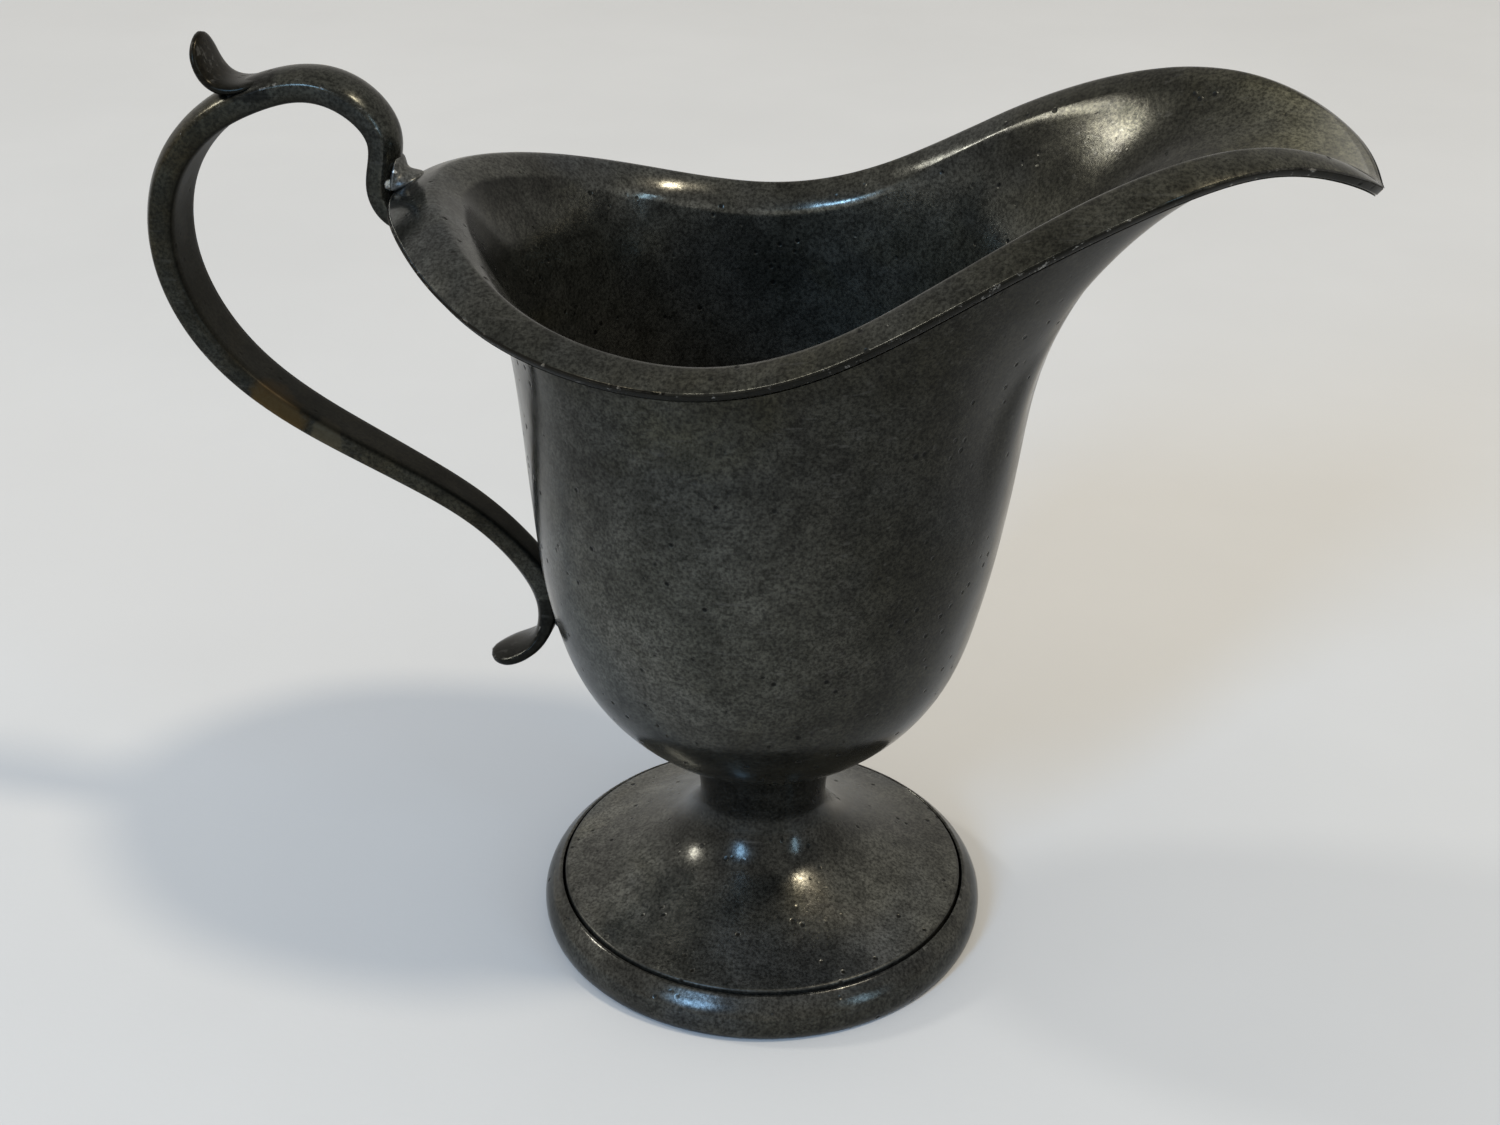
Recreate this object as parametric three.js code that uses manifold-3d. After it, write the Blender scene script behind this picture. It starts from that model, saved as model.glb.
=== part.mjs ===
// A footed pewter sauce boat: a helmet-shaped bowl with a rolled lip and a long pouring spout, a scrolled
// strap handle with a thumb leaf, and a hollow trumpet foot with an applied base moulding. The joints are
// soldered. Millimetres, +Z up. +X runs from the handle to the spout. The object is symmetric about Y = 0.
import * as THREE from "three";
import { mergeVertices } from "three/addons/utils/BufferGeometryUtils.js";
import Module from "manifold-3d";

const wasm = await Module();
wasm.setup();

// ---- Driving dimensions ----
const WALL = 1.3; // thickness of the bowl's metal
const FOOT_WALL = 1.2; // thickness of the foot's metal
const GAP = 0.3; // clearance kept at every soldered seam
const SHOULDER_Z = 62; // the bowl is round below this height and opens into the lip above it
const LIP_END_SLOPE = 62; // degrees below the horizontal where the rolled lip stops
const BELLY = 0.95; // how far the wall swells out of round towards the spout
const BELLY_Z = [50, 88]; // between these heights
const AXIS_X = 4.86; // where the bowl's axis stands, so that the whole object is centred on X = 0

// Resolution of the faceted solids.
const AROUND = 3; // columns between two stations of the lip
const TURNS = 48; // columns of the turned pieces
const BOWL_ROWS = 7;
const WALL_ROWS = 5;
const LIP_ROWS = 4;

// Inside of the round lower bowl, from the middle of the bottom to the shoulder: radius, height.
const BOWL_PROFILE = [
  [0, 27.8],
  [6.2, 28.2],
  [11.9, 29.6],
  [16.7, 32.6],
  [21.3, 37.5],
  [24.6, 43.4],
  [26.55, 49.8],
  [27.7, 56],
  [28.3, SHOULDER_Z],
];

// The lip's crest on one side, from the handle to the spout's tip.
// at: the crest's place. climb: the share of the wall's height that it climbs before it leans out.
// rise: the wall's slope in degrees where it starts to roll over. reach: how straight it runs up to there.
// roll: the radius of the roll.
const LIP_STATIONS = [
  { at: [-41.6, 0, 104.9], climb: 0.52, rise: 58, reach: 13, roll: 5.4 },
  { at: [-36.6, 14.2, 103.2], climb: 0.56, rise: 62, reach: 12, roll: 5 },
  { at: [-24, 27.4, 98.5], climb: 0.66, rise: 74, reach: 11, roll: 4.2 },
  { at: [-6, 32.3, 95.4], climb: 0.68, rise: 84, reach: 10, roll: 3.6 },
  { at: [11, 32.5, 99.3], climb: 0.66, rise: 80, reach: 11, roll: 3.6 },
  { at: [27, 28.9, 108.4], climb: 0.58, rise: 67, reach: 11.5, roll: 3.8 },
  { at: [42, 22.2, 115.7], climb: 0.48, rise: 59, reach: 31, roll: 4 },
  { at: [55.5, 14.8, 117.8], climb: 0.74, rise: 40, reach: 16, roll: 3 },
  { at: [65.6, 7.8, 114.1], climb: 0.88, rise: 1, reach: 17, roll: 2 },
  { at: [68.4, 0, 110.8], climb: 0.79, rise: -19, reach: 24, roll: 1.3 },
];

// Outside of the foot, from its seat under the bowl down to the edge of its plate: radius, height.
const FOOT_PROFILE = [
  [9.5, 26],
  [9.15, 24.2],
  [8.85, 21.6],
  [8.75, 18.4],
  [10.2, 15],
  [13.6, 12],
  [18.6, 9.4],
  [23.4, 7.5],
  [27.9, 6.3],
];

// Applied base moulding, a closed outline: radius, height.
const MOULDING_OUTLINE = [
  [28.2, 0],
  [30, 0],
  [30.7, 0.8],
  [30.8, 2],
  [30.5, 3.4],
  [29.8, 4.7],
  [29, 5.6],
  [28.2, 6],
];

// Ring of solder between the foot's seat and the bowl, a closed outline: radius, height.
const NECK_SOLDER_OUTLINE = [
  [8.9, 26.6],
  [9.5, 26.35],
  [10, 26.45],
  [10.3, 26.8],
  [10.2, 27.2],
  [9.7, 27.3],
  [9, 27.1],
];

// Middle line of the strap from the upper joint, over the top and down to the curled end. at: x and z.
// width is across the object, thick is in its plane.
const STRAP_STATIONS = [
  { at: [-42.8, 98.2], width: 5, thick: 2.2 },
  { at: [-46.3, 99.2], width: 5.4, thick: 2.8 },
  { at: [-47.8, 103], width: 5.8, thick: 3.3 },
  { at: [-47.1, 108.6], width: 6.4, thick: 3.4 },
  { at: [-50.8, 113.4], width: 7, thick: 3.8 },
  { at: [-57, 114.8], width: 7.2, thick: 3.8 },
  { at: [-63.8, 112.9], width: 7.4, thick: 4 },
  { at: [-69.6, 109.6], width: 7.6, thick: 4.1 },
  { at: [-74.4, 104.3], width: 7.8, thick: 4.2 },
  { at: [-76.9, 97.5], width: 8, thick: 4.2 },
  { at: [-76.8, 90], width: 8, thick: 4.2 },
  { at: [-74, 82.6], width: 7.8, thick: 4.1 },
  { at: [-68.9, 76.2], width: 7.4, thick: 3.9 },
  { at: [-62.1, 71.1], width: 7, thick: 3.7 },
  { at: [-54.6, 67], width: 6.6, thick: 3.5 },
  { at: [-46.9, 63.1], width: 6, thick: 3.3 },
  { at: [-39.7, 58.9], width: 5.4, thick: 3.2 },
  { at: [-33.9, 53.8], width: 4.8, thick: 3.4 },
  { at: [-30.1, 48.2], width: 4.4, thick: 3.7 },
  { at: [-29.7, 43.5], width: 4.6, thick: 2.7 },
  { at: [-31.1, 40.1], width: 6.8, thick: 2 },
  { at: [-34.3, 37.9], width: 8, thick: 1.9 },
  { at: [-37.9, 36.9], width: 5.8, thick: 1.4 },
];

// Middle line of the thumb leaf, from its seat on the strap to its tip.
const LEAF_STATIONS = [
  { at: [-61.2, 115.2], width: 6.4, thick: 1.4 },
  { at: [-64.8, 114], width: 7, thick: 2.2 },
  { at: [-67.9, 114.7], width: 7.2, thick: 2.4 },
  { at: [-69.4, 117.4], width: 6.6, thick: 2.2 },
  { at: [-69.6, 120.1], width: 4.4, thick: 1.5 },
];

// Beads of solder, each an oval: middle and half sizes.
const UPPER_SOLDER = { middle: [-45.3, 0, 104.3], half: [2.3, 2.4, 1.5] };
const LOWER_SOLDER = { middle: [-27.6, 0, 43.2], half: [1.8, 1.9, 2.3] };

// ---- Curves ----

// Control points of the cubic B-spline that passes through the given rows of numbers.
function controlsThrough(rows, closed) {
  const last = rows.length - 1;
  const neighbour = (set, i) => {
    if (closed) return set[(i + rows.length) % rows.length];
    if (i < 0) return rows[0].map((v, k) => 2 * v - set[1][k]);
    if (i > last) return rows[last].map((v, k) => 2 * v - set[last - 1][k]);
    return set[i];
  };
  let controls = rows.map((row) => [...row]);
  for (let pass = 0; pass < 40; pass++) {
    const old = controls;
    controls = rows.map((row, i) => {
      const before = neighbour(old, i - 1);
      const after = neighbour(old, i + 1);
      return row.map((v, k) => (6 * v - before[k] - after[k]) / 4);
    });
  }
  return (i) => neighbour(controls, i);
}

// A smooth curve through rows of numbers: curve(t) gives the row at t, where t counts rows.
function splineThrough(rows, closed = false) {
  const control = controlsThrough(rows, closed);
  return (t) => {
    const i = closed ? Math.floor(t) : THREE.MathUtils.clamp(Math.floor(t), 0, rows.length - 2);
    const f = t - i;
    const weights = [
      (1 - f) ** 3 / 6,
      (3 * f ** 3 - 6 * f ** 2 + 4) / 6,
      (-3 * f ** 3 + 3 * f ** 2 + 3 * f + 1) / 6,
      f ** 3 / 6,
    ];
    return rows[0].map((_, k) => weights.reduce((sum, w, j) => sum + w * control(i - 1 + j)[k], 0));
  };
}

// ---- Meshes and solids ----

// A closed surface from rings of points, each ring closed, capped at both ends by a fan.
function skin(rings) {
  const count = rings[0].length;
  const points = rings.flat();
  const index = [];
  for (let i = 0; i + 1 < rings.length; i++) {
    for (let j = 0; j < count; j++) {
      const a = i * count + j;
      const b = i * count + ((j + 1) % count);
      index.push(a, b, b + count, a, b + count, a + count);
    }
  }
  const cap = (ring, offset, flip) => {
    const middle = ring.reduce((sum, p) => sum.add(p), new THREE.Vector3()).divideScalar(count);
    const hub = points.push(middle) - 1;
    for (let j = 0; j < count; j++) {
      const a = offset + j;
      const b = offset + ((j + 1) % count);
      index.push(hub, flip ? b : a, flip ? a : b);
    }
  };
  cap(rings[0], 0, true);
  cap(rings.at(-1), (rings.length - 1) * count, false);
  return new THREE.BufferGeometry().setFromPoints(points).setIndex(index);
}

function toSolid(geometry) {
  const bare = geometry.clone();
  bare.deleteAttribute("normal");
  bare.deleteAttribute("uv");
  const merged = mergeVertices(bare, 1e-4);
  return new wasm.Manifold(
    new wasm.Mesh({
      numProp: 3,
      vertProperties: merged.attributes.position.array,
      triVerts: new Uint32Array(merged.index.array),
    }),
  );
}

function toGeometry(solid) {
  const { vertProperties, triVerts } = solid.getMesh();
  return new THREE.BufferGeometry()
    .setAttribute("position", new THREE.BufferAttribute(vertProperties, 3))
    .setIndex(new THREE.BufferAttribute(triVerts, 1));
}

// The largest piece of a solid, without the slivers that a cut can leave.
function mainPiece(solid) {
  return solid.decompose().reduce((best, piece) => (piece.volume() > best.volume() ? piece : best));
}

// ---- Bowl ----

// The lip's stations on both sides, as one closed loop of rows: x, y, z, climb, rise, reach, roll.
const lipRows = [
  ...LIP_STATIONS.map((s) => [s.at[0], -s.at[1], s.at[2], s.climb, s.rise, s.reach, s.roll]),
  ...LIP_STATIONS.slice(1, -1)
    .reverse()
    .map((s) => [...s.at, s.climb, s.rise, s.reach, s.roll]),
];
const lipLoop = splineThrough(lipRows, true);
const bowlProfile = splineThrough(BOWL_PROFILE);

// How far the wall swells out of round at a bearing and a height.
function belly(bearing, height) {
  const share = THREE.MathUtils.clamp((height - BELLY_Z[0]) / (BELLY_Z[1] - BELLY_Z[0]), 0, 1);
  return BELLY * Math.max(Math.cos(bearing), 0) ** 2 * Math.sin(Math.PI * share) ** 2;
}

// Points of the bowl's inner face on one column, from the middle of the bottom to the end of the lip.
function bowlColumn(t) {
  const [x, y, z, climb, rise, reach, roll] = lipLoop(t);
  const [xa, ya] = lipLoop(t + 0.01);
  const [xb, yb] = lipLoop(t - 0.01);
  const out = new THREE.Vector3(ya - yb, xb - xa, 0).normalize();
  const up = new THREE.Vector3(0, 0, 1);
  const bearing = Math.atan2(y, x);
  const radial = new THREE.Vector3(Math.cos(bearing), Math.sin(bearing), 0);
  const points = [];
  const last = BOWL_PROFILE.length - 1;
  for (let i = 1; i <= BOWL_ROWS; i++) {
    const [r, h] = bowlProfile((last * i) / BOWL_ROWS);
    points.push(radial.clone().multiplyScalar(r).addScaledVector(up, h));
  }
  // Wall: a cubic curve that leaves the shoulder along the profile and arrives at the start of the roll.
  const crest = new THREE.Vector3(x, y, z);
  const slope = THREE.MathUtils.degToRad(rise);
  const onRoll = (a) =>
    crest
      .clone()
      .addScaledVector(out, -roll * Math.sin(a))
      .addScaledVector(up, -roll * (1 - Math.cos(a)));
  const end = onRoll(slope);
  const start = points.at(-1);
  const [r0, h0] = bowlProfile(last - 0.05);
  const [r1, h1] = bowlProfile(last);
  const leave = radial.clone().multiplyScalar((r1 - r0) / (h1 - h0)).add(up);
  leave.multiplyScalar((end.z - start.z) * climb);
  const ahead = out.clone().add(radial);
  ahead.divideScalar(ahead.dot(out));
  const arrive = ahead.multiplyScalar(Math.cos(slope)).addScaledVector(up, Math.sin(slope));
  const wall = new THREE.CubicBezierCurve3(
    start,
    start.clone().add(leave),
    end.clone().addScaledVector(arrive, -reach),
    end,
  );
  for (let i = 1; i <= WALL_ROWS; i++) points.push(wall.getPoint(i / WALL_ROWS));
  // Lip: an arc that rolls over the crest and down.
  const stop = -THREE.MathUtils.degToRad(LIP_END_SLOPE);
  for (let i = 1; i <= LIP_ROWS; i++) points.push(onRoll(slope + ((stop - slope) * i) / LIP_ROWS));
  return points.map((p) => p.addScaledVector(radial, belly(bearing, p.z)));
}

// Moves each point of a closed grid of columns along the surface's normal.
function offsetColumns(columns, distance) {
  const count = columns.length;
  return columns.map((column, j) =>
    column.map((p, i) => {
      const along = column[Math.min(i + 1, column.length - 1)].clone().sub(column[Math.max(i - 1, 0)]);
      const across = columns[(j + 1) % count][i].clone().sub(columns[(j + count - 1) % count][i]);
      const normal = across.cross(along).normalize();
      return p.clone().addScaledVector(normal, distance);
    }),
  );
}

// Moves the last point of a column straight on past the lip's free edge.
function carriedOn(column, distance) {
  const [before, edge] = column.slice(-2);
  const ahead = edge.clone().sub(before).normalize();
  return [...column.slice(0, -1), edge.clone().addScaledVector(ahead, distance)];
}

// The bowl's wall between two offsets from its inner face, carried on past the lip's edge.
function bowlShell(inner, outer, beyond) {
  const count = lipRows.length * AROUND;
  const columns = Array.from({ length: count }, (_, j) => carriedOn(bowlColumn(j / AROUND), beyond));
  const faceIn = offsetColumns(columns, inner);
  const faceOut = offsetColumns(columns, outer);
  const rings = [];
  const rows = columns[0].length;
  for (let i = 0; i < rows; i++) rings.push(faceOut.map((column) => column[i]));
  for (let i = rows - 1; i >= 0; i--) rings.push(faceIn.map((column) => column[i]));
  return skin(rings);
}

// ---- Foot ----

function turned(outline) {
  const points = outline.map(([r, h]) => new THREE.Vector2(r, h));
  return new THREE.LatheGeometry([...points, points[0]], TURNS).rotateX(Math.PI / 2);
}

// The foot's section: a trumpet of even thickness that ends in a short upright skirt.
function footOutline() {
  const curve = splineThrough(FOOT_PROFILE);
  const last = FOOT_PROFILE.length - 1;
  const steps = 14;
  const outside = [];
  const inside = [];
  for (let i = 0; i <= steps; i++) {
    const t = (i * last) / steps;
    const [r, h] = curve(t);
    const [ra, ha] = curve(t - 0.01);
    const [rb, hb] = curve(t + 0.01);
    const inward = new THREE.Vector2(hb - ha, ra - rb).normalize().multiplyScalar(FOOT_WALL);
    outside.push([r, h]);
    inside.push([r + inward.x, h + inward.y]);
  }
  const edge = FOOT_PROFILE[last][0];
  return [...inside.slice(0, -1), [edge - FOOT_WALL, 0], [edge, 0], ...outside.reverse()];
}

// ---- Handle ----

// Sections in units of half the width and half the thickness, the second positive on the outer face.
// The strap has a flat inner face with eased edges, upright sides and a crowned outer face.
const EDGE_EASE = 0.15;
const SIDE_TOP = 0.4;
const crown = [-1, -0.66, -0.33, 0, 0.33, 0.66, 1].map((w) => [w, 1 - (1 - SIDE_TOP) * w * w]);
const strapSection = [
  [EDGE_EASE - 1, -1],
  [-1, 2 * EDGE_EASE - 1],
  ...crown,
  [1, 2 * EDGE_EASE - 1],
  [1 - EDGE_EASE, -1],
];
const leafSection = Array.from({ length: 12 }, (_, i) => [
  -Math.cos((i * Math.PI) / 6),
  Math.sin((i * Math.PI) / 6),
]);

// The share of the section's size at the first and second rings from either end, which rounds the ends.
const END_ROUNDING = [0.42, 0.88];

// A strip swept along its stations in the plane of the handle. grow thickens it on every side.
function strip(stations, section, grow = 0) {
  const curve = splineThrough(stations.map((s) => [...s.at, s.width / 2, s.thick / 2]));
  const steps = 3 * (stations.length - 1);
  const rings = [];
  for (let i = 0; i <= steps; i++) {
    const t = i / 3;
    const [x, z, halfWidth, halfThick] = curve(t);
    const [xa, za] = curve(t - 0.01);
    const [xb, zb] = curve(t + 0.01);
    const outward = new THREE.Vector3(zb - za, 0, xa - xb).normalize();
    const share = END_ROUNDING[Math.min(i, steps - i)] ?? 1;
    const wide = halfWidth * share + grow;
    const deep = halfThick * share + grow;
    const place = ([w, d]) => new THREE.Vector3(x, w * wide, z).addScaledVector(outward, d * deep);
    rings.push(section.map(place));
  }
  return skin(rings);
}

function bead({ middle, half }) {
  return new THREE.SphereGeometry(1, 16, 12).scale(...half).translate(...middle);
}

// ---- Materials ----

// Tarnished pewter, a little browner on the handle, and the paler solder.
const bodyPewter = new THREE.MeshStandardMaterial({ color: 0x55554f, roughness: 0.36, metalness: 1 });
const handlePewter = new THREE.MeshStandardMaterial({ color: 0x5c5b52, roughness: 0.4, metalness: 1 });
const solder = new THREE.MeshStandardMaterial({ color: 0x8a8880, roughness: 0.45, metalness: 1 });

// ---- The object ----

const root = new THREE.Group();
root.position.x = AXIS_X;

function add(name, geometry, material) {
  const mesh = new THREE.Mesh(geometry, material);
  mesh.name = name;
  root.add(mesh);
}

const bowlCutter = toSolid(bowlShell(-GAP, WALL + GAP, GAP));
const strapCutter = toSolid(strip(STRAP_STATIONS, strapSection, GAP));

function trimmed(geometry, cutters) {
  const cut = cutters.reduce((rest, cutter) => rest.subtract(cutter), toSolid(geometry));
  return toGeometry(mainPiece(cut));
}

add("bowl", bowlShell(0, WALL, 0), bodyPewter);
add("foot", turned(footOutline()), bodyPewter);
add("foot_moulding", turned(MOULDING_OUTLINE), bodyPewter);
add("handle_strap", trimmed(strip(STRAP_STATIONS, strapSection), [bowlCutter]), handlePewter);
add("thumb_leaf", trimmed(strip(LEAF_STATIONS, leafSection), [strapCutter]), handlePewter);
add("neck_solder", turned(NECK_SOLDER_OUTLINE), solder);
add("upper_handle_solder", trimmed(bead(UPPER_SOLDER), [strapCutter, bowlCutter]), solder);
add("lower_handle_solder", trimmed(bead(LOWER_SOLDER), [strapCutter, bowlCutter]), solder);

export default root;
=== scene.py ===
import math

import bmesh
import bpy
import numpy as np
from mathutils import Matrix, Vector


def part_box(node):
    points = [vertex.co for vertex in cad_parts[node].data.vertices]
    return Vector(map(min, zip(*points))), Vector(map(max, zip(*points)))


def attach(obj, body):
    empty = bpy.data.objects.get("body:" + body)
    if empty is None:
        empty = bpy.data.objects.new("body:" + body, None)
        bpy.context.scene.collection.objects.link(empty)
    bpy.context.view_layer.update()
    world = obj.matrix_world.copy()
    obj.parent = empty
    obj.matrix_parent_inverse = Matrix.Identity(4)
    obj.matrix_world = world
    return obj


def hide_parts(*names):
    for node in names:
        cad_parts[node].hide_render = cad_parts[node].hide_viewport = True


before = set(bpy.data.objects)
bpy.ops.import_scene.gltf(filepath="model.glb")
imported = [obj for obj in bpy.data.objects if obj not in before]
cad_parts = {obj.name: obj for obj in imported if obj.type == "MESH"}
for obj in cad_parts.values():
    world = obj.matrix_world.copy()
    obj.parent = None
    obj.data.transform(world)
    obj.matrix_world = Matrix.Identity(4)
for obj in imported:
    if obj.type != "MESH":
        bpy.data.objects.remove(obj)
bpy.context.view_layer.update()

# A footed pewter sauce boat. Shapes are written in millimetres about the bowl's own axis, and become metres
# in the row frame when a mesh is made.
MM = 0.001
foot_low, foot_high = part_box("foot")
AXIS = Vector(((foot_low[0] + foot_high[0]) / 2, (foot_low[1] + foot_high[1]) / 2, foot_low[2]))
UP = Vector((0, 0, 1))


# ---- Curves ----

SPLINE_PASSES = 40  # rounds of relaxation that bring the curve onto its rows
NEARBY = 0.01  # how far along a curve, in rows, its direction is measured


def spline_through(rows, closed=False):
    """A smooth curve through rows of numbers, as a function of t, which counts rows."""
    rows = np.array(rows, dtype=float)
    last = len(rows) - 1

    def neighbour(points, i):
        if closed:
            return points[i % len(rows)]
        if i < 0:
            return 2 * rows[0] - points[1]
        if i > last:
            return 2 * rows[last] - points[last - 1]
        return points[i]

    controls = rows.copy()
    for _ in range(SPLINE_PASSES):
        old = controls.copy()
        for i in range(len(rows)):
            controls[i] = (6 * rows[i] - neighbour(old, i - 1) - neighbour(old, i + 1)) / 4

    def curve(t):
        i = math.floor(t) if closed else min(max(math.floor(t), 0), last - 1)
        f = t - i
        weights = (
            (1 - f) ** 3 / 6,
            (3 * f**3 - 6 * f**2 + 4) / 6,
            (-3 * f**3 + 3 * f**2 + 3 * f + 1) / 6,
            f**3 / 6,
        )
        return sum(w * neighbour(controls, i - 1 + j) for j, w in enumerate(weights))

    return curve


def smoothstep(low, high, value):
    """Rises from 0 at low to 1 at high. low may be the greater of the two."""
    t = min(max((value - low) / (high - low), 0.0), 1.0)
    return t * t * (3 - 2 * t)


# ---- Meshes ----

TURN_COLUMNS = 160


def make_piece(name, points, faces, material, wear=None, grime=None, pale=None):
    """A smooth mesh piece from points in millimetres. The wear, the dirt with painted shade, and the tone
    with painted light and shade are one number per point.
    """
    mesh = bpy.data.meshes.new(name)
    mesh.from_pydata([AXIS + Vector(p) * MM for p in points], [], faces)
    mesh.polygons.foreach_set("use_smooth", [True] * len(mesh.polygons))
    for label, values in (("wear", wear), ("grime", grime), ("pale", pale)):
        layer = mesh.attributes.new(label, "FLOAT", "POINT")
        layer.data.foreach_set("value", [float(v) for v in (values or [0.0] * len(points))])
    mesh.materials.append(material)
    mesh.validate()
    solid = bmesh.new()
    solid.from_mesh(mesh)
    bmesh.ops.recalc_face_normals(solid, faces=solid.faces)
    solid.to_mesh(mesh)
    solid.free()
    piece = bpy.data.objects.new(name, mesh)
    bpy.context.scene.collection.objects.link(piece)
    return piece


def skin_faces(rings, count):
    """Faces over `rings` closed rings of `count` points, and over both ends, whose hub points come last."""
    faces = []
    for i in range(rings - 1):
        for j in range(count):
            k = (j + 1) % count
            faces.append((i * count + j, i * count + k, (i + 1) * count + k, (i + 1) * count + j))
    hub = rings * count
    faces += [(hub, (j + 1) % count, j) for j in range(count)]
    last = (rings - 1) * count
    faces += [(hub + 1, last + j, last + (j + 1) % count) for j in range(count)]
    return faces


def skin_points(rings):
    """The points of the rings in order, then a hub in the middle of each end."""
    hubs = [sum(ring, Vector()) / len(ring) for ring in (rings[0], rings[-1])]
    return [p for ring in rings for p in ring] + hubs


def turned_piece(name, outline, material, **looks):
    """A closed outline of (radius, height) turned round the bowl's axis.

    looks are functions of radius and height, one for each of wear, dirt with painted shade, and tone with
    painted light and shade."""
    count = len(outline)
    points = []
    for j in range(TURN_COLUMNS):
        a = 2 * math.pi * j / TURN_COLUMNS
        points += [Vector((r * math.cos(a), r * math.sin(a), h)) for r, h in outline]
    faces = []
    for j in range(TURN_COLUMNS):
        k = (j + 1) % TURN_COLUMNS
        for i in range(count):
            n = (i + 1) % count
            faces.append((j * count + i, k * count + i, k * count + n, j * count + n))
    layers = {label: [look(r, h) for r, h in outline] * TURN_COLUMNS for label, look in looks.items()}
    return make_piece(name, points, faces, material, **layers)


# ---- Bowl ----

WALL = 1.3
LIP_END = math.radians(-62)  # the slope at which the lip's roll stops
FOLD = math.radians(10)  # the slope of the crest's tight fold, with a flatter band on each side of it
FLATNESS = 0.6  # how much of each band's curve is taken out
EDGE_ROUND = 0.32  # radius of the worn edge of the lip
EDGE_STEPS = 4  # steps round each of the edge's two corners
EDGE_RINGS = 2 * EDGE_STEPS + 1
BELLY = 0.95  # how far the wall swells out of round towards the spout, between two heights
BELLY_LOW, BELLY_HIGH = 50, 88
SHOULDER_STEP = 0.05  # how far before the shoulder, in profile rows, its slope is measured
BOWL_ROWS = 40
WALL_ROWS = 36
LIP_ROWS = 18
COLUMNS_PER_STATION = 16

# Inside of the round lower bowl, from the middle of the bottom to the shoulder: radius, height.
BOWL_PROFILE = [
    (0, 27.8), (6.2, 28.2), (11.9, 29.6), (16.7, 32.6), (21.3, 37.5),
    (24.6, 43.4), (26.55, 49.8), (27.7, 56), (28.3, 62),
]

# The lip's crest on one side, from the handle to the spout's tip: x, y, z, climb, rise, reach, roll.
# The wall keeps the shoulder's direction for climb, a share of its height. It arrives at the lip at rise
# degrees, a slope that it keeps for reach, and then turns over on a radius of roll.
LIP_STATIONS = [
    (-41.6, 0, 104.9, 0.52, 58, 13, 5.4),
    (-36.6, 14.2, 103.2, 0.56, 62, 12, 5),
    (-24, 27.4, 98.5, 0.66, 74, 11, 4.2),
    (-6, 32.3, 95.4, 0.68, 84, 10, 3.6),
    (11, 32.5, 99.3, 0.66, 80, 11, 3.6),
    (27, 28.9, 108.4, 0.58, 67, 11.5, 3.8),
    (42, 22.2, 115.7, 0.48, 59, 31, 4),
    (55.5, 14.8, 117.8, 0.74, 40, 16, 3),
    (65.6, 7.8, 114.1, 0.88, 1, 17, 2),
    (68.4, 0, 110.8, 0.79, -19, 24, 1.3),
]
lip_rows = [(x, -y, *rest) for x, y, *rest in LIP_STATIONS] + LIP_STATIONS[-2:0:-1]
lip_loop = spline_through(lip_rows, closed=True)
bowl_profile = spline_through(BOWL_PROFILE)


def belly(bearing, height):
    """How far the wall stands out of round at a bearing and a height."""
    share = min(max((height - BELLY_LOW) / (BELLY_HIGH - BELLY_LOW), 0), 1)
    return BELLY * max(math.cos(bearing), 0) ** 2 * math.sin(math.pi * share) ** 2


def bowl_column(t):
    """Points of the bowl's inner face on one column, from the middle of the bottom to the end of the lip."""
    x, y, z, climb, rise, reach, roll = lip_loop(t)
    xa, ya = lip_loop(t + NEARBY)[:2]
    xb, yb = lip_loop(t - NEARBY)[:2]
    out = Vector((ya - yb, xb - xa, 0)).normalized()
    bearing = math.atan2(y, x)
    radial = Vector((math.cos(bearing), math.sin(bearing), 0))
    last = len(BOWL_PROFILE) - 1
    points = []
    for i in range(1, BOWL_ROWS + 1):
        r, h = bowl_profile(last * i / BOWL_ROWS)
        points.append(radial * r + UP * h)
    crest = Vector((x, y, z))
    slope = math.radians(rise)

    def on_roll(a):
        return crest - out * (roll * math.sin(a)) - UP * (roll * (1 - math.cos(a)))

    start = points[-1]
    end = on_roll(slope)
    r0, h0 = bowl_profile(last - SHOULDER_STEP)
    r1, h1 = bowl_profile(last)
    leave = (radial * ((r1 - r0) / (h1 - h0)) + UP) * ((end.z - start.z) * climb)
    ahead = out + radial
    ahead /= ahead.dot(out)
    arrive = ahead * math.cos(slope) + UP * math.sin(slope)
    a, b, c, d = start, start + leave, end - arrive * reach, end
    for i in range(1, WALL_ROWS + 1):
        f = i / WALL_ROWS
        g = 1 - f
        points.append(a * g**3 + b * (3 * g * g * f) + c * (3 * g * f * f) + d * f**3)
    for i in range(1, LIP_ROWS + 1):
        a = slope + (LIP_END - slope) * i / LIP_ROWS
        p = on_roll(a)
        if a < FOLD:
            p = p.lerp(on_roll(FOLD).lerp(on_roll(LIP_END), (a - FOLD) / (LIP_END - FOLD)), FLATNESS)
        elif slope > FOLD:
            p = p.lerp(on_roll(slope).lerp(on_roll(FOLD), (a - slope) / (FOLD - slope)), FLATNESS)
        points.append(p)
    return [p + radial * belly(bearing, p.z) for p in points]


def column_normals(columns):
    """Outward normals of a closed grid of columns."""
    count = len(columns)
    normals = []
    for j, column in enumerate(columns):
        before, after = columns[j - 1], columns[(j + 1) % count]
        top = len(column) - 1
        normals.append([
            (after[i] - before[i]).cross(column[min(i + 1, top)] - column[max(i - 1, 0)]).normalized()
            for i in range(len(column))
        ])
    return normals


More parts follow.
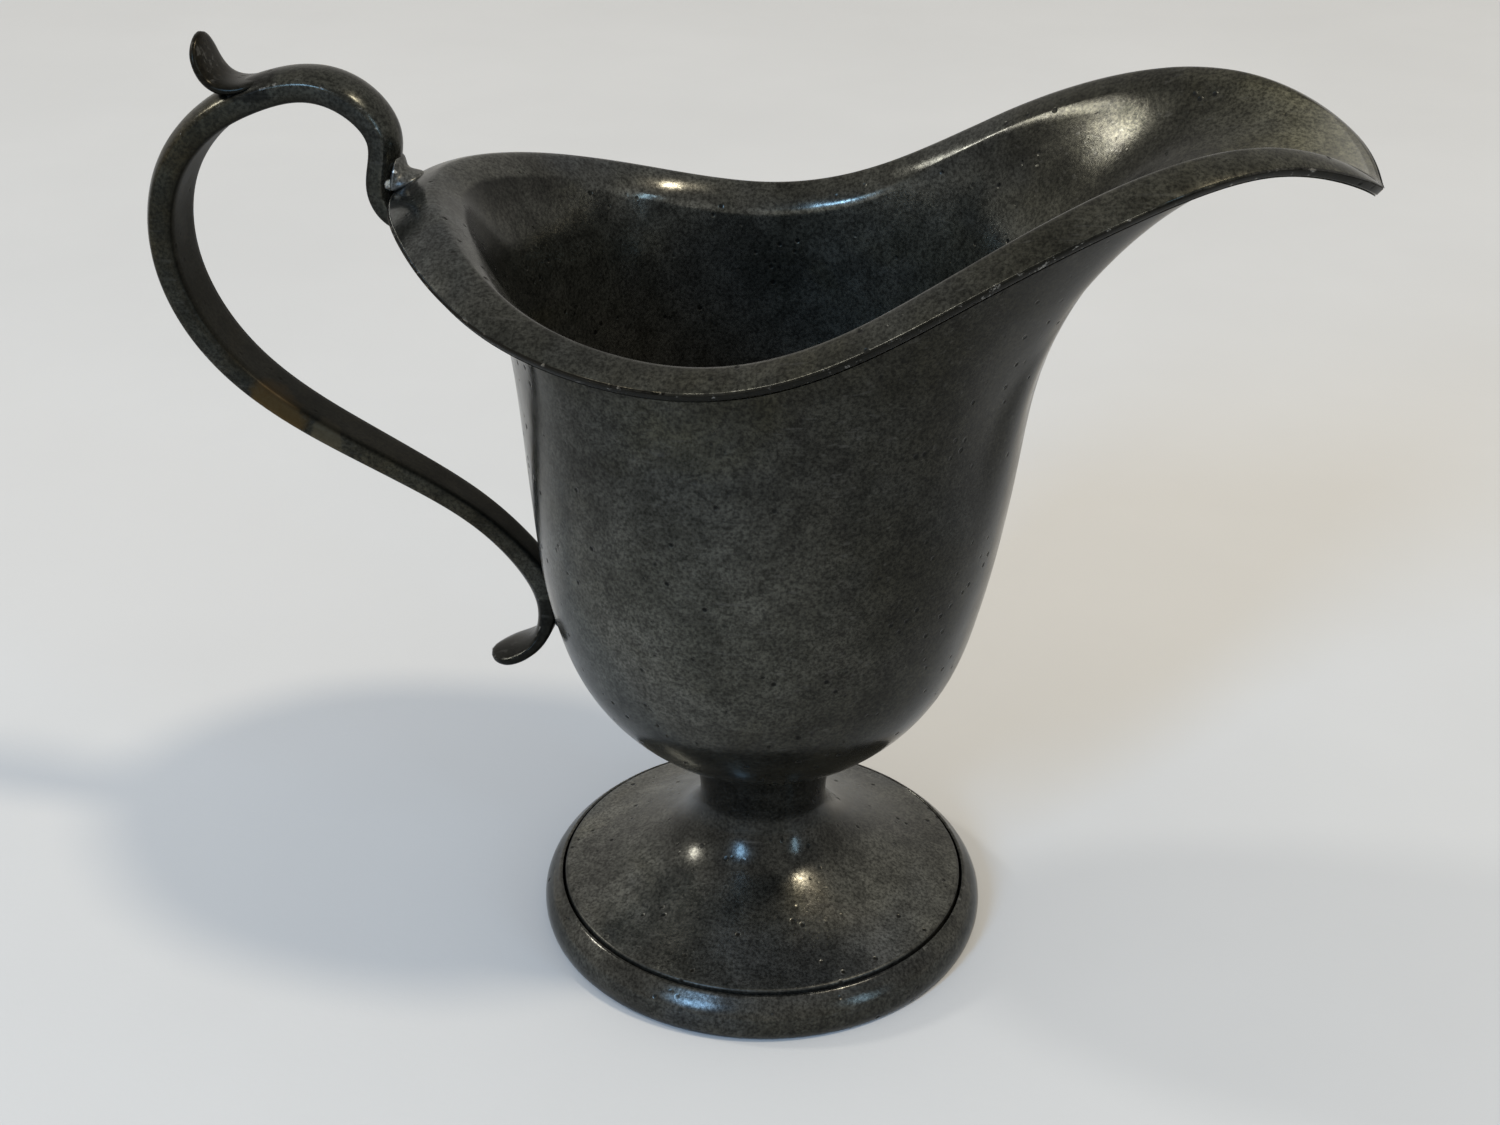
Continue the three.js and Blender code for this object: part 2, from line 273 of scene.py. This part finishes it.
def bowl_paleness(p, inside, on_lip):
    """How much paler or darker than the rest the surface is painted at a point: painted light, shade and
    reflections.
    """
    if on_lip:
        # Painted reflection: paler towards the spout, most of all at its tip.
        return 0.05 + 0.45 * smoothstep(-15, 15, p.x) + 0.8 * smoothstep(45, 64, p.x)
    if inside:
        # Inside: paler in the well, painted light; paler along the spout, a painted reflection; darker below
        # the lip beside the handle, painted shade that dims a lamp's highlight.
        well = (0.8 + 2.2 * smoothstep(-12, 8, p.x)) * smoothstep(104, 92, p.z)
        spout = 7.6 * smoothstep(42, 74, p.x) ** 1.5
        return well + spout - 0.75 * smoothstep(-25, -32, p.x) * smoothstep(90, 96, p.z)
    # Outside, painted light and shade for what the wall reflects: paler at half height on the handle's side
    # and round the bottom, darker below the spout.
    side = (1.1 * smoothstep(82, 60, p.z) - 0.7 * smoothstep(56, 42, p.z)) * smoothstep(22, 2, p.x)
    return side + (1.5 * smoothstep(35.5, 31.5, p.z) - 0.45 * smoothstep(20, 40, p.x))


def build_bowl(material):
    count = len(lip_rows) * COLUMNS_PER_STATION
    columns = [bowl_column(j / COLUMNS_PER_STATION) for j in range(count)]
    normals = column_normals(columns)
    rows = len(columns[0])
    rings = [[columns[j][i] + normals[j][i] * WALL for j in range(count)] for i in range(rows)]
    # Worn edge: from the outer face round to the inner face, inside the metal's thickness.
    along = [(column[-1] - column[-2]).normalized() for column in columns]
    turns = [math.pi / 2 * k / EDGE_STEPS for k in range(EDGE_STEPS + 1)]
    edge = [(WALL - EDGE_ROUND * (1 - math.cos(a)), EDGE_ROUND * math.sin(a)) for a in turns]
    edge += [(EDGE_ROUND * (1 - math.sin(a)), EDGE_ROUND * math.cos(a)) for a in turns[1:]]
    for side, ahead in edge:
        rings.append([
            columns[j][-1] + normals[j][-1] * side + along[j] * (ahead - EDGE_ROUND) for j in range(count)
        ])
    rings += [[column[i] for column in columns] for i in reversed(range(rows))]
    points = skin_points(rings)
    lip_start = rows - LIP_ROWS
    lip_stop = rows + EDGE_RINGS + LIP_ROWS
    pale = [
        bowl_paleness(p, i // count >= lip_stop, lip_start <= i // count < lip_stop)
        for i, p in enumerate(points)
    ]
    wear = []
    grime = []
    # The rounded edge of the lip and the ring just under it get painted shade: a dark line under the lip, in
    # place of the window's reflection on the rounded edge.
    for i in range(len(rings)):
        on_edge = rows + EDGE_STEPS <= i <= rows + EDGE_RINGS
        wear += [1.0 if on_edge else 0.0] * count
        grime += [0.9 if on_edge or i == rows - 1 else 0.0] * count
    wear += [0.0, 0.0]
    grime += [0.0, 0.0]
    piece = make_piece("bowl_shell", points, skin_faces(len(rings), count), material, wear, grime, pale)
    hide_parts("bowl")
    return piece


# ---- Foot ----

FOOT_WALL = 1.2
# The foot's outer face, from the neck to the skirt's edge: radius, height.
FOOT_PROFILE = [
    (9.5, 26), (9.15, 24.2), (8.85, 21.6), (8.75, 18.4), (10.2, 15),
    (13.6, 12), (18.6, 9.4), (23.4, 7.5), (27.9, 6.3),
]
FOOT_STEPS = 72
# Applied base moulding, from its inner foot round the outside to its inner top: radius, height.
MOULDING_OUTLINE = [
    (28.2, 0), (29.8, 0), (30.25, 0.2), (30.6, 0.7), (30.78, 1.5), (30.8, 2.2), (30.7, 3), (30.42, 3.8),
    (30.02, 4.5), (29.5, 5.1), (28.9, 5.62), (28.7, 5.86), (28.48, 5.98), (28.28, 5.94), (28.2, 5.75),
]
# Bead of solder between the foot and the bowl: radius, height.
NECK_BEAD = [
    (8.7, 26.3), (9.4, 26), (9.9, 26.15), (10.25, 26.6),
    (10.35, 27.2), (10.5, 27.8), (9.6, 27.6), (8.8, 27.3),
]


def build_foot(material):
    curve = spline_through(FOOT_PROFILE)
    last = len(FOOT_PROFILE) - 1
    outside = []
    inside = []
    for i in range(FOOT_STEPS + 1):
        t = i * last / FOOT_STEPS
        r, h = curve(t)
        ra, ha = curve(t - NEARBY)
        rb, hb = curve(t + NEARBY)
        inward = Vector((hb - ha, ra - rb)).normalized() * FOOT_WALL
        outside.append((r, h))
        inside.append((r + inward.x, h + inward.y))
    # The skirt turns down to the table over a small rounded corner.
    edge = FOOT_PROFILE[-1][0]
    top = outside[-1][1]
    corner = [(edge - 0.2, top + 0.03), (edge - 0.06, top - 0.06), (edge, top - 0.25)]
    outline = outside[:-1] + corner + [(edge, 0), (edge - FOOT_WALL, 0)] + inside[:-1][::-1]
    # Painted light and shade: the foot is paler on the plate, a painted reflection of the room, and darker
    # on the neck, painted shade under the bowl.
    piece = turned_piece(
        "foot_trumpet", outline, material,
        grime=lambda r, h: 0.6 * smoothstep(0.5, 0.05, abs(r - edge)) if h > 5 else 0,
        pale=lambda r, h: 0.4 - 0.8 * smoothstep(10, 14, h),
    )
    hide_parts("foot")
    return piece


def build_moulding(material):
    piece = turned_piece(
        "foot_band", MOULDING_OUTLINE, material,
        wear=lambda r, h: 0.35 if h > 5.8 else 0,
        grime=lambda r, h: 0.6 if r < 28.25 else 0,
        pale=lambda r, h: -0.2,
    )
    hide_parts("foot_moulding")
    return piece


# ---- Handle ----

# Middle line of the strap: x, z, width across the object, thickness in its plane.
STRAP_STATIONS = [
    (-42.8, 98.2, 5, 2.2), (-46.3, 99.2, 5.4, 2.8), (-47.8, 103, 5.8, 3.3), (-47.1, 108.6, 6.4, 3.4),
    (-50.8, 113.4, 7, 3.8), (-57, 114.8, 7.2, 3.8), (-63.8, 112.9, 7.4, 4), (-69.6, 109.6, 7.6, 4.1),
    (-74.4, 104.3, 7.8, 4.2), (-76.9, 97.5, 8, 4.2), (-76.8, 90, 8, 4.2), (-74, 82.6, 7.8, 4.1),
    (-68.9, 76.2, 7.4, 3.9), (-62.1, 71.1, 7, 3.7), (-54.6, 67, 6.6, 3.5), (-46.9, 63.1, 6, 3.3),
    (-39.7, 58.9, 5.4, 3.2), (-33.9, 53.8, 4.8, 3.4), (-30.1, 48.2, 4.4, 3.7), (-29.7, 43.5, 4.6, 2.7),
    (-31.1, 40.1, 6.8, 2), (-34.3, 37.9, 8, 1.9), (-37.9, 36.9, 5.8, 1.4),
]
# Middle line of the thumb leaf, from its seat on the strap to its tip.
LEAF_STATIONS = [
    (-61.2, 115.2, 6.4, 1.4), (-64.8, 114, 7, 2.2), (-67.9, 114.7, 7.2, 2.4), (-69.4, 117.4, 6.6, 2.2),
    (-69.6, 120.1, 4.4, 1.5),
]
STEPS_PER_STATION = 10
CAP_LENGTH = 0.42  # length of a strip's rounded end, as a share of its width
CAP_THICKNESS = 0.35  # thickness left at the very end
CAP_WIDTH = 0.12  # width left at the very end
OVAL_POINTS = 28


def strap_section():
    """Section of the strap in half widths and half thicknesses, with the wear and the painted shade at each
    point.
    """
    section = []
    side_top = 0.35
    crown_steps = 12
    # Crowned outer face, worn at its two edges.
    for i in range(crown_steps + 1):
        w = -1 + 2 * i / crown_steps
        worn = 0.8 if i in (0, crown_steps) else 0.1
        section.append((w * 0.97, 1 - (1 - side_top) * abs(w) ** 2.2, worn, 0.0))
    # Side, flat inner face with eased edges, other side: half width, half thickness, painted shade, which
    # darkens the sides and most of all the inner face.
    half = [
        (1.0, 0.22, 0.0), (1.0, 0.0, 0.25), (0.995, -0.3, 0.3), (0.97, -0.62, 0.35), (0.9, -0.86, 0.6),
        (0.8, -0.97, 0.75), (0.6, -1, 0.75), (0.3, -1, 0.75),
    ]
    section += [(w, d, 0.0, soil_and_shade) for w, d, soil_and_shade in half]
    section.append((0, -1, 0.0, 0.75))
    section += [(-w, d, 0.0, soil_and_shade) for w, d, soil_and_shade in reversed(half)]
    return section


def oval_section():
    turns = [2 * math.pi * i / OVAL_POINTS for i in range(OVAL_POINTS)]
    return [(-math.cos(a), math.sin(a), 0.2, 0.15) for a in turns]


def strip_paleness(p):
    """The curl at the bottom and the leaf at the top are darker than the rest of the handle."""
    on_curl = p.z < 47
    on_leaf = p.z > 113 and p.x < -60
    return -0.7 if on_curl or on_leaf else 0.0


def build_strip(name, stations, section, material, dish=0.0):
    """A strip swept along its stations in the plane of the handle, with rounded ends.

    dish is how far its outer face is hollowed, as a share of half the thickness."""
    curve = spline_through(stations)
    steps = (len(stations) - 1) * STEPS_PER_STATION
    places = [i / STEPS_PER_STATION for i in range(steps + 1)]
    centres = [Vector((curve(t)[0], 0, curve(t)[1])) for t in places]
    lengths = [0.0]
    for a, b in zip(centres, centres[1:]):
        lengths.append(lengths[-1] + (b - a).length)
    rings = []
    wear = []
    grime = []
    for t, s in zip(places, lengths):
        x, z, width, thick = curve(t)
        xa, za = curve(t - NEARBY)[:2]
        xb, zb = curve(t + NEARBY)[:2]
        outward = Vector((zb - za, 0, xa - xb)).normalized()
        # The last stretch at each end closes like half an ellipse.
        near = min(s, lengths[-1] - s)
        share = math.sqrt(1 - (1 - min(near / (width * CAP_LENGTH), 1.0)) ** 2)
        thin = CAP_THICKNESS + (1 - CAP_THICKNESS) * share
        ring = []
        for w, d, worn, soil_and_shade in section:
            hollow = dish * (1 - w * w) if d > 0 else 0.0
            across = w * width / 2 * max(share, CAP_WIDTH)
            ring.append(Vector((x, across, z)) + outward * ((d - hollow) * thick / 2 * thin))
            wear.append(worn)
            grime.append(soil_and_shade)
        rings.append(ring)
    wear += [0.3, 0.3]
    grime += [0.0, 0.0]
    points = skin_points(rings)
    pale = [strip_paleness(p) for p in points]
    return make_piece(name, points, skin_faces(len(rings), len(section)), material, wear, grime, pale)


BEAD_STEPS = 20
BEAD_SPAN = 0.94  # how much of a half turn the sweep takes before a fan closes each end
BEAD_FULLNESS = 0.7  # lower is blunter at the ends


def bead_piece(name, outline, half_width, anchor, material):
    """A bead of solder: a closed outline in x and z, swept across the object and drawn in to an anchor."""
    rings = []
    for i in range(BEAD_STEPS + 1):
        a = math.pi * (i / BEAD_STEPS - 0.5) * BEAD_SPAN
        share = math.cos(a) ** BEAD_FULLNESS
        y = half_width * math.sin(a)
        rings.append([
            Vector((anchor[0] + (x - anchor[0]) * share, y, anchor[1] + (z - anchor[1]) * share))
            for x, z in outline
        ])
    return make_piece(name, skin_points(rings), skin_faces(len(rings), len(outline)), material)


def closed_outline(corners, steps=5):
    """A smooth closed outline through its corners, with a number of steps from one to the next."""
    curve = spline_through(corners, closed=True)
    return [tuple(curve(i / steps)) for i in range(len(corners) * steps)]


# ---- Materials ----


class Nodes:
    """Adds nodes to one material and links them."""

    def __init__(self, name):
        self.material = bpy.data.materials.new(name)
        self.material.use_nodes = True
        self.tree = self.material.node_tree
        self.shader = self.tree.nodes["Principled BSDF"]
        self.place = self.add("ShaderNodeTexCoord").outputs["Object"]

    def add(self, kind, inputs=None, **settings):
        node = self.tree.nodes.new(kind)
        for key, value in settings.items():
            setattr(node, key, value)
        for key, value in (inputs or {}).items():
            self.put(node.inputs[key], value)
        return node

    def put(self, socket, value):
        if isinstance(value, bpy.types.NodeSocket):
            self.tree.links.new(value, socket)
        else:
            socket.default_value = value

    def noise(self, scale, detail=4.0, roughness=0.55, distortion=0.0, place=None):
        node = self.add(
            "ShaderNodeTexNoise",
            {
                "Vector": place or self.place, "Scale": scale, "Detail": detail, "Roughness": roughness,
                "Distortion": distortion,
            },
        )
        return node.outputs["Fac"]

    def math(self, operation, a, b):
        return self.add("ShaderNodeMath", {0: a, 1: b}, operation=operation).outputs[0]

    def span(self, value, low, high, to_low=0.0, to_high=1.0):
        """Goes smoothly from to_low, where the value is low, to to_high, where it is high."""
        node = self.add(
            "ShaderNodeMapRange",
            {"Value": value, "From Min": low, "From Max": high, "To Min": to_low, "To Max": to_high},
            interpolation_type="SMOOTHSTEP",
        )
        return node.outputs["Result"]

    def mix(self, factor, a, b):
        """Colour a where the factor is 0, and b where it is 1."""
        node = self.add("ShaderNodeMix", data_type="RGBA")
        # A mix node has its sockets once for each kind of data. These are the colour ones.
        self.put(node.inputs[0], factor)
        self.put(node.inputs[6], a)
        self.put(node.inputs[7], b)
        return node.outputs[2]

    def shade(self, colour, amount):
        """The colour times a number."""
        scaled = self.add("ShaderNodeVectorMath", {0: colour, "Scale": amount}, operation="SCALE")
        return scaled.outputs["Vector"]

    def spot(self, at, reach):
        """One inside a rough round patch about a point in millimetres from the bowl's axis, zero outside."""
        centre = AXIS + Vector(at) * MM
        node = self.add("ShaderNodeVectorMath", {0: self.place, 1: centre}, operation="DISTANCE")
        radius = reach * MM
        noise = self.noise(0.6 / radius, 4, 0.6)
        ragged = self.span(noise, 0.3, 0.7, -0.4 * reach * MM, 0.4 * reach * MM)
        return self.span(self.math("ADD", node.outputs["Value"], ragged), radius, 0.6 * reach * MM)

    def attribute(self, name):
        return self.add("ShaderNodeAttribute", attribute_name=name).outputs["Fac"]

    def bump(self, height, distance, strength=1.0, before=None):
        inputs = {"Height": height, "Distance": distance, "Strength": strength}
        if before is not None:
            inputs["Normal"] = before
        return self.add("ShaderNodeBump", inputs).outputs["Normal"]


# Brown tarnish with painted shade, laid towards the spout.
SPOUT_TARNISH_AND_SHADE = (0.0125, 0.0115, 0.0075, 1)
# Painted reflection: the palest colour, laid inside the spout towards its tip for the bright room that it
# reflects.
PAINTED_SPOUT_REFLECTION = (0.3, 0.3, 0.285, 1)  # the palest metal, at the spout's tip
SCRATCH = (0.12, 0.118, 0.108, 1)
PIT = (0.006, 0.006, 0.005, 1)
GRIME_AND_SHADE = (0.007, 0.0068, 0.005, 1)
BARE = (0.26, 0.255, 0.235, 1)  # worn edges


def pewter(name, dark, light, stain, stain_share, roughness, rim, pits=1.0, spout_tarnish_and_shade=0.0, spots=()):
    """Tarnished pewter: cloudy greys with stains, fine grain, dark pits, and brighter metal on worn edges.

    rim is how bright its grazing reflections are. The spout-side share is how much darker and browner it is
    painted towards the spout: brown tarnish, with painted shade for the darker reflections on that side.
    spots are patches: place, reach, colour and share."""
    n = Nodes(name)
    pale = n.attribute("pale")
    # Clouds of two greys, then stains, then cooler patches.
    cloud = n.span(n.noise(42, 6, 0.62, 0.4), 0.36, 0.66)
    colour = n.mix(cloud, (*dark, 1), (*light, 1))
    blotch = n.span(n.noise(24, 5, 0.6, 0.8), 0.5, 0.7, 0, stain_share)
    colour = n.mix(blotch, colour, (*stain, 1))
    cool = n.span(n.noise(31, 3, 0.5, 0.3), 0.5, 0.7, 0, 0.55)
    colour = n.mix(cool, colour, (light[0] * 0.88, light[1], light[2] * 1.3, 1))
    # Painted shade with brown tarnish: darker and browner towards the spout, for the darker reflections on
    # that side.
    if spout_tarnish_and_shade:
        x = n.add("ShaderNodeSeparateXYZ", {0: n.place}).outputs["X"]
        x = n.math("ADD", x, n.span(n.noise(30, 3, 0.5), 0.3, 0.7, -0.006, 0.006))
        colour = n.mix(n.span(x, AXIS.x - 26 * MM, AXIS.x + 22 * MM, 0, spout_tarnish_and_shade), colour, SPOUT_TARNISH_AND_SHADE)
    # Small mottling and grain, and the tone given with the mesh, which carries painted light and shade.
    mottle = n.span(n.noise(330, 4, 0.65, 0.3), 0.33, 0.67, 0.76, 1.26)
    grain = n.noise(2300, 3, 0.7)
    speckle = n.span(grain, 0.32, 0.68, 0.5, 1.65)
    texture = n.math("MULTIPLY", mottle, speckle)
    colour = n.shade(colour, n.math("MULTIPLY", texture, n.math("ADD", 1.0, pale)))
    # Painted reflection: inside the spout towards its tip, the colour goes over to the palest one.
    colour = n.mix(n.span(pale, 3.2, 8, 0, 0.6), colour, PAINTED_SPOUT_REFLECTION)
    # Fine scratches, brighter, along two directions.
    for turn, scale in ((0.5, 1500), (-0.9, 1300)):
        settings = {"Vector": n.place, "Rotation": (0.2, turn, 0.4), "Scale": (0.04, 1, 1)}
        along = n.add("ShaderNodeMapping", settings).outputs["Vector"]
        line = n.span(n.noise(scale, 2, 0.5, 0.0, along), 0.64, 0.74, 0, 0.16)
        colour = n.mix(line, colour, SCRATCH)
    # Pits: small round dark spots, only where a broad noise allows them.
    cells = n.add("ShaderNodeTexVoronoi", {"Vector": n.place, "Scale": 520.0, "Randomness": 1.0})
    pit = n.span(cells.outputs["Distance"], 0.24, 0.1)
    allowed = n.span(n.noise(260, 2, 0.5), 0.5, 0.62)
    pit = n.math("MULTIPLY", n.math("MULTIPLY", pit, allowed), pits)
    colour = n.mix(pit, colour, PIT)
    for at, reach, paint, share in spots:
        colour = n.mix(n.math("MULTIPLY", n.spot(at, reach), share), colour, (*paint, 1))
    # Dirt and painted shade given with the mesh, and chips of bare metal through them.
    grime = n.attribute("grime")
    colour = n.mix(grime, colour, GRIME_AND_SHADE)
    chips = n.span(n.noise(650, 4, 0.7), 0.59, 0.67)
    worn = n.math("MULTIPLY", n.attribute("wear"), chips)
    colour = n.mix(n.math("MULTIPLY", worn, 0.8), colour, BARE)
    n.put(n.shader.inputs["Base Color"], colour)
    n.put(n.shader.inputs["Metallic"], 0.78)
    n.put(n.shader.inputs["Specular IOR Level"], 0.35)
    n.put(n.shader.inputs["Specular Tint"], (rim, rim, rim, 1))
    rough = n.span(n.noise(120, 4, 0.6), 0.3, 0.7, roughness - 0.04, roughness + 0.06)
    dull = n.math("MULTIPLY", n.math("ADD", pit, grime), 0.3)
    n.put(n.shader.inputs["Roughness"], n.math("ADD", rough, dull))
    # Relief, from the broadest to the finest: swells left by hand work, fine waves, grain, pits.
    swell = n.bump(n.noise(90, 2, 0.5), 0.0003, 0.4)
    fine = n.bump(n.noise(700, 4, 0.65), 0.00002, 0.6, swell)
    tooth = n.bump(grain, 0.00001, 0.6, fine)
    holes = n.bump(n.math("SUBTRACT", 1.0, pit), 0.00008, 0.8, tooth)
    n.put(n.shader.inputs["Normal"], holes)
    return n.material


body_metal = pewter(
    "body_pewter", dark=(0.0215, 0.0218, 0.0182), light=(0.041, 0.0412, 0.036), stain=(0.034, 0.031, 0.016),
    stain_share=0.7, roughness=0.18, rim=0.8, spout_tarnish_and_shade=0.66,
)
foot_metal = pewter(
    "foot_pewter", dark=(0.04, 0.0395, 0.0345), light=(0.064, 0.0635, 0.055), stain=(0.054, 0.049, 0.031),
    stain_share=0.6, roughness=0.2, rim=0.85, spout_tarnish_and_shade=0.4,
)
# Bare solder showing beside the upper joint.
FLECKS = (
    ((-46.5, -1.8, 103.1), 0.75, (0.8, 0.79, 0.74), 1.0),
    ((-45.4, -2.3, 104.9), 0.4, (0.6, 0.59, 0.55), 1.0),
)
# Brown stain low on the strap, and a paler patch beside it.
STAIN = (
    ((-64, -3, 72.3), 3.6, (0.075, 0.045, 0.012), 0.7),
    ((-57.5, -3, 68.5), 2.6, (0.09, 0.075, 0.045), 0.6),
)
handle_metal = pewter(
    "handle_pewter", dark=(0.017, 0.0165, 0.0115), light=(0.034, 0.0325, 0.024), stain=(0.042, 0.03, 0.011),
    stain_share=0.55, roughness=0.23, rim=0.66, pits=0.4, spots=STAIN + FLECKS,
)
solder_metal = pewter(
    "solder", dark=(0.04, 0.04, 0.035), light=(0.075, 0.074, 0.066), stain=(0.05, 0.045, 0.03),
    stain_share=0.4, roughness=0.3, rim=0.7, pits=0.2, spots=FLECKS,
)


# ---- Pieces ----

bowl = build_bowl(body_metal)
foot = build_foot(foot_metal)
moulding = build_moulding(foot_metal)
strap = build_strip("handle_scroll", STRAP_STATIONS, strap_section(), handle_metal)
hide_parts("handle_strap")
leaf = build_strip("handle_leaf", LEAF_STATIONS, oval_section(), handle_metal, dish=0.3)
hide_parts("thumb_leaf")
# Over the solder's own paler metal, the bead is painted paler still, a painted highlight: a bright line
# round the ring, which sits in the bowl's shadow.
neck = turned_piece("neck_joint", closed_outline(NECK_BEAD, 4), solder_metal, pale=lambda r, h: 1.3)
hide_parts("neck_solder")
upper_outline = closed_outline([
    (-45.8, 106.4), (-45.3, 105.3), (-44.3, 104.5), (-42.9, 104.15),
    (-43.6, 103.2), (-45.4, 102.4), (-46.6, 103.2),
])
upper = bead_piece("upper_joint", upper_outline, 2.7, (-45.9, 102.9), solder_metal)
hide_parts("upper_handle_solder")
lower_outline = closed_outline([
    (-28.5, 46.6), (-28.9, 44), (-28.3, 42.2), (-27.1, 42.3), (-25.3, 41), (-25.6, 43.6), (-26.6, 46.2),
])
lower = bead_piece("lower_joint", lower_outline, 2.1, (-27.4, 43.8), solder_metal)
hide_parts("lower_handle_solder")

for piece, slot in (
    (bowl, "body_pewter"), (foot, "body_pewter"), (moulding, "body_pewter"), (strap, "handle_pewter"),
    (leaf, "handle_pewter"), (neck, "solder"), (upper, "solder"), (lower, "solder"),
):
    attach(piece, "root")


# ---- Floor, light and camera ----

FLOOR_HALF = 3.0
AIM_HEIGHT = 0.07  # the height that the lamps face
LAMP_DISTANCE = 1.6
# Name, azimuth and elevation in degrees, width and height in metres, watts, colour.
LAMPS = [
    ("lamp_right", -10, 62, (0.18, 0.18), 11.6, (1.0, 0.88, 0.7)),
    ("lamp_left", 177, 34, (0.2, 0.24), 6.2, (1.0, 0.97, 0.9)),
    ("window_front", -115, 30, (0.26, 0.7), 15.5, (0.33, 0.6, 1.0)),
    ("window_right", -30, 20, (0.16, 0.7), 3.2, (0.45, 0.72, 1.0)),
]


def floor_material():
    n = Nodes("paper")
    tone = n.span(n.noise(6, 5, 0.6), 0.3, 0.7)
    n.put(n.shader.inputs["Base Color"], n.mix(tone, (0.485, 0.485, 0.48, 1), (0.51, 0.51, 0.505, 1)))
    n.put(n.shader.inputs["Roughness"], 0.7)
    n.put(n.shader.inputs["Normal"], n.bump(n.noise(900, 4, 0.6), 0.00004, 0.5))
    return n.material


def build_floor():
    corners = ((-1, -1), (1, -1), (1, 1), (-1, 1))
    mesh = bpy.data.meshes.new("floor")
    mesh.from_pydata([(x * FLOOR_HALF, y * FLOOR_HALF, AXIS.z) for x, y in corners], [], [(0, 1, 2, 3)])
    mesh.materials.append(floor_material())
    floor = bpy.data.objects.new("floor", mesh)
    bpy.context.scene.collection.objects.link(floor)


def area_light(name, azimuth, elevation, size, watts, colour):
    """A soft oval light that faces the boat. size is its width and height."""
    light = bpy.data.lights.new(name, "AREA")
    light.shape = "ELLIPSE"
    light.size, light.size_y = size
    light.energy = watts
    light.color = colour
    lamp = bpy.data.objects.new(name, light)
    a, e = math.radians(azimuth), math.radians(elevation)
    away = Vector((math.cos(a) * math.cos(e), math.sin(a) * math.cos(e), math.sin(e)))
    lamp.location = AXIS + UP * AIM_HEIGHT + away * LAMP_DISTANCE
    lamp.rotation_euler = away.to_track_quat("Z", "Y").to_euler()
    bpy.context.scene.collection.objects.link(lamp)


def build_world():
    world = bpy.data.worlds.new("room")
    bpy.context.scene.world = world
    world.use_nodes = True
    background = world.node_tree.nodes["Background"]
    background.inputs["Color"].default_value = (1.0, 0.97, 0.91, 1)
    background.inputs["Strength"].default_value = 0.75


def build_camera():
    data = bpy.data.cameras.new("camera")
    data.lens = 48
    data.sensor_width = 36
    data.clip_start = 0.01
    camera = bpy.data.objects.new("camera", data)
    camera.location = AXIS + Vector((37.97, -225.44, 180.63)) * MM
    camera.rotation_euler = [math.radians(a) for a in (61.117, -0.334, 10.251)]
    bpy.context.scene.collection.objects.link(camera)
    bpy.context.scene.camera = camera


build_floor()
build_world()
for lamp in LAMPS:
    area_light(*lamp)
build_camera()
bpy.context.scene.view_settings.view_transform = "Standard"
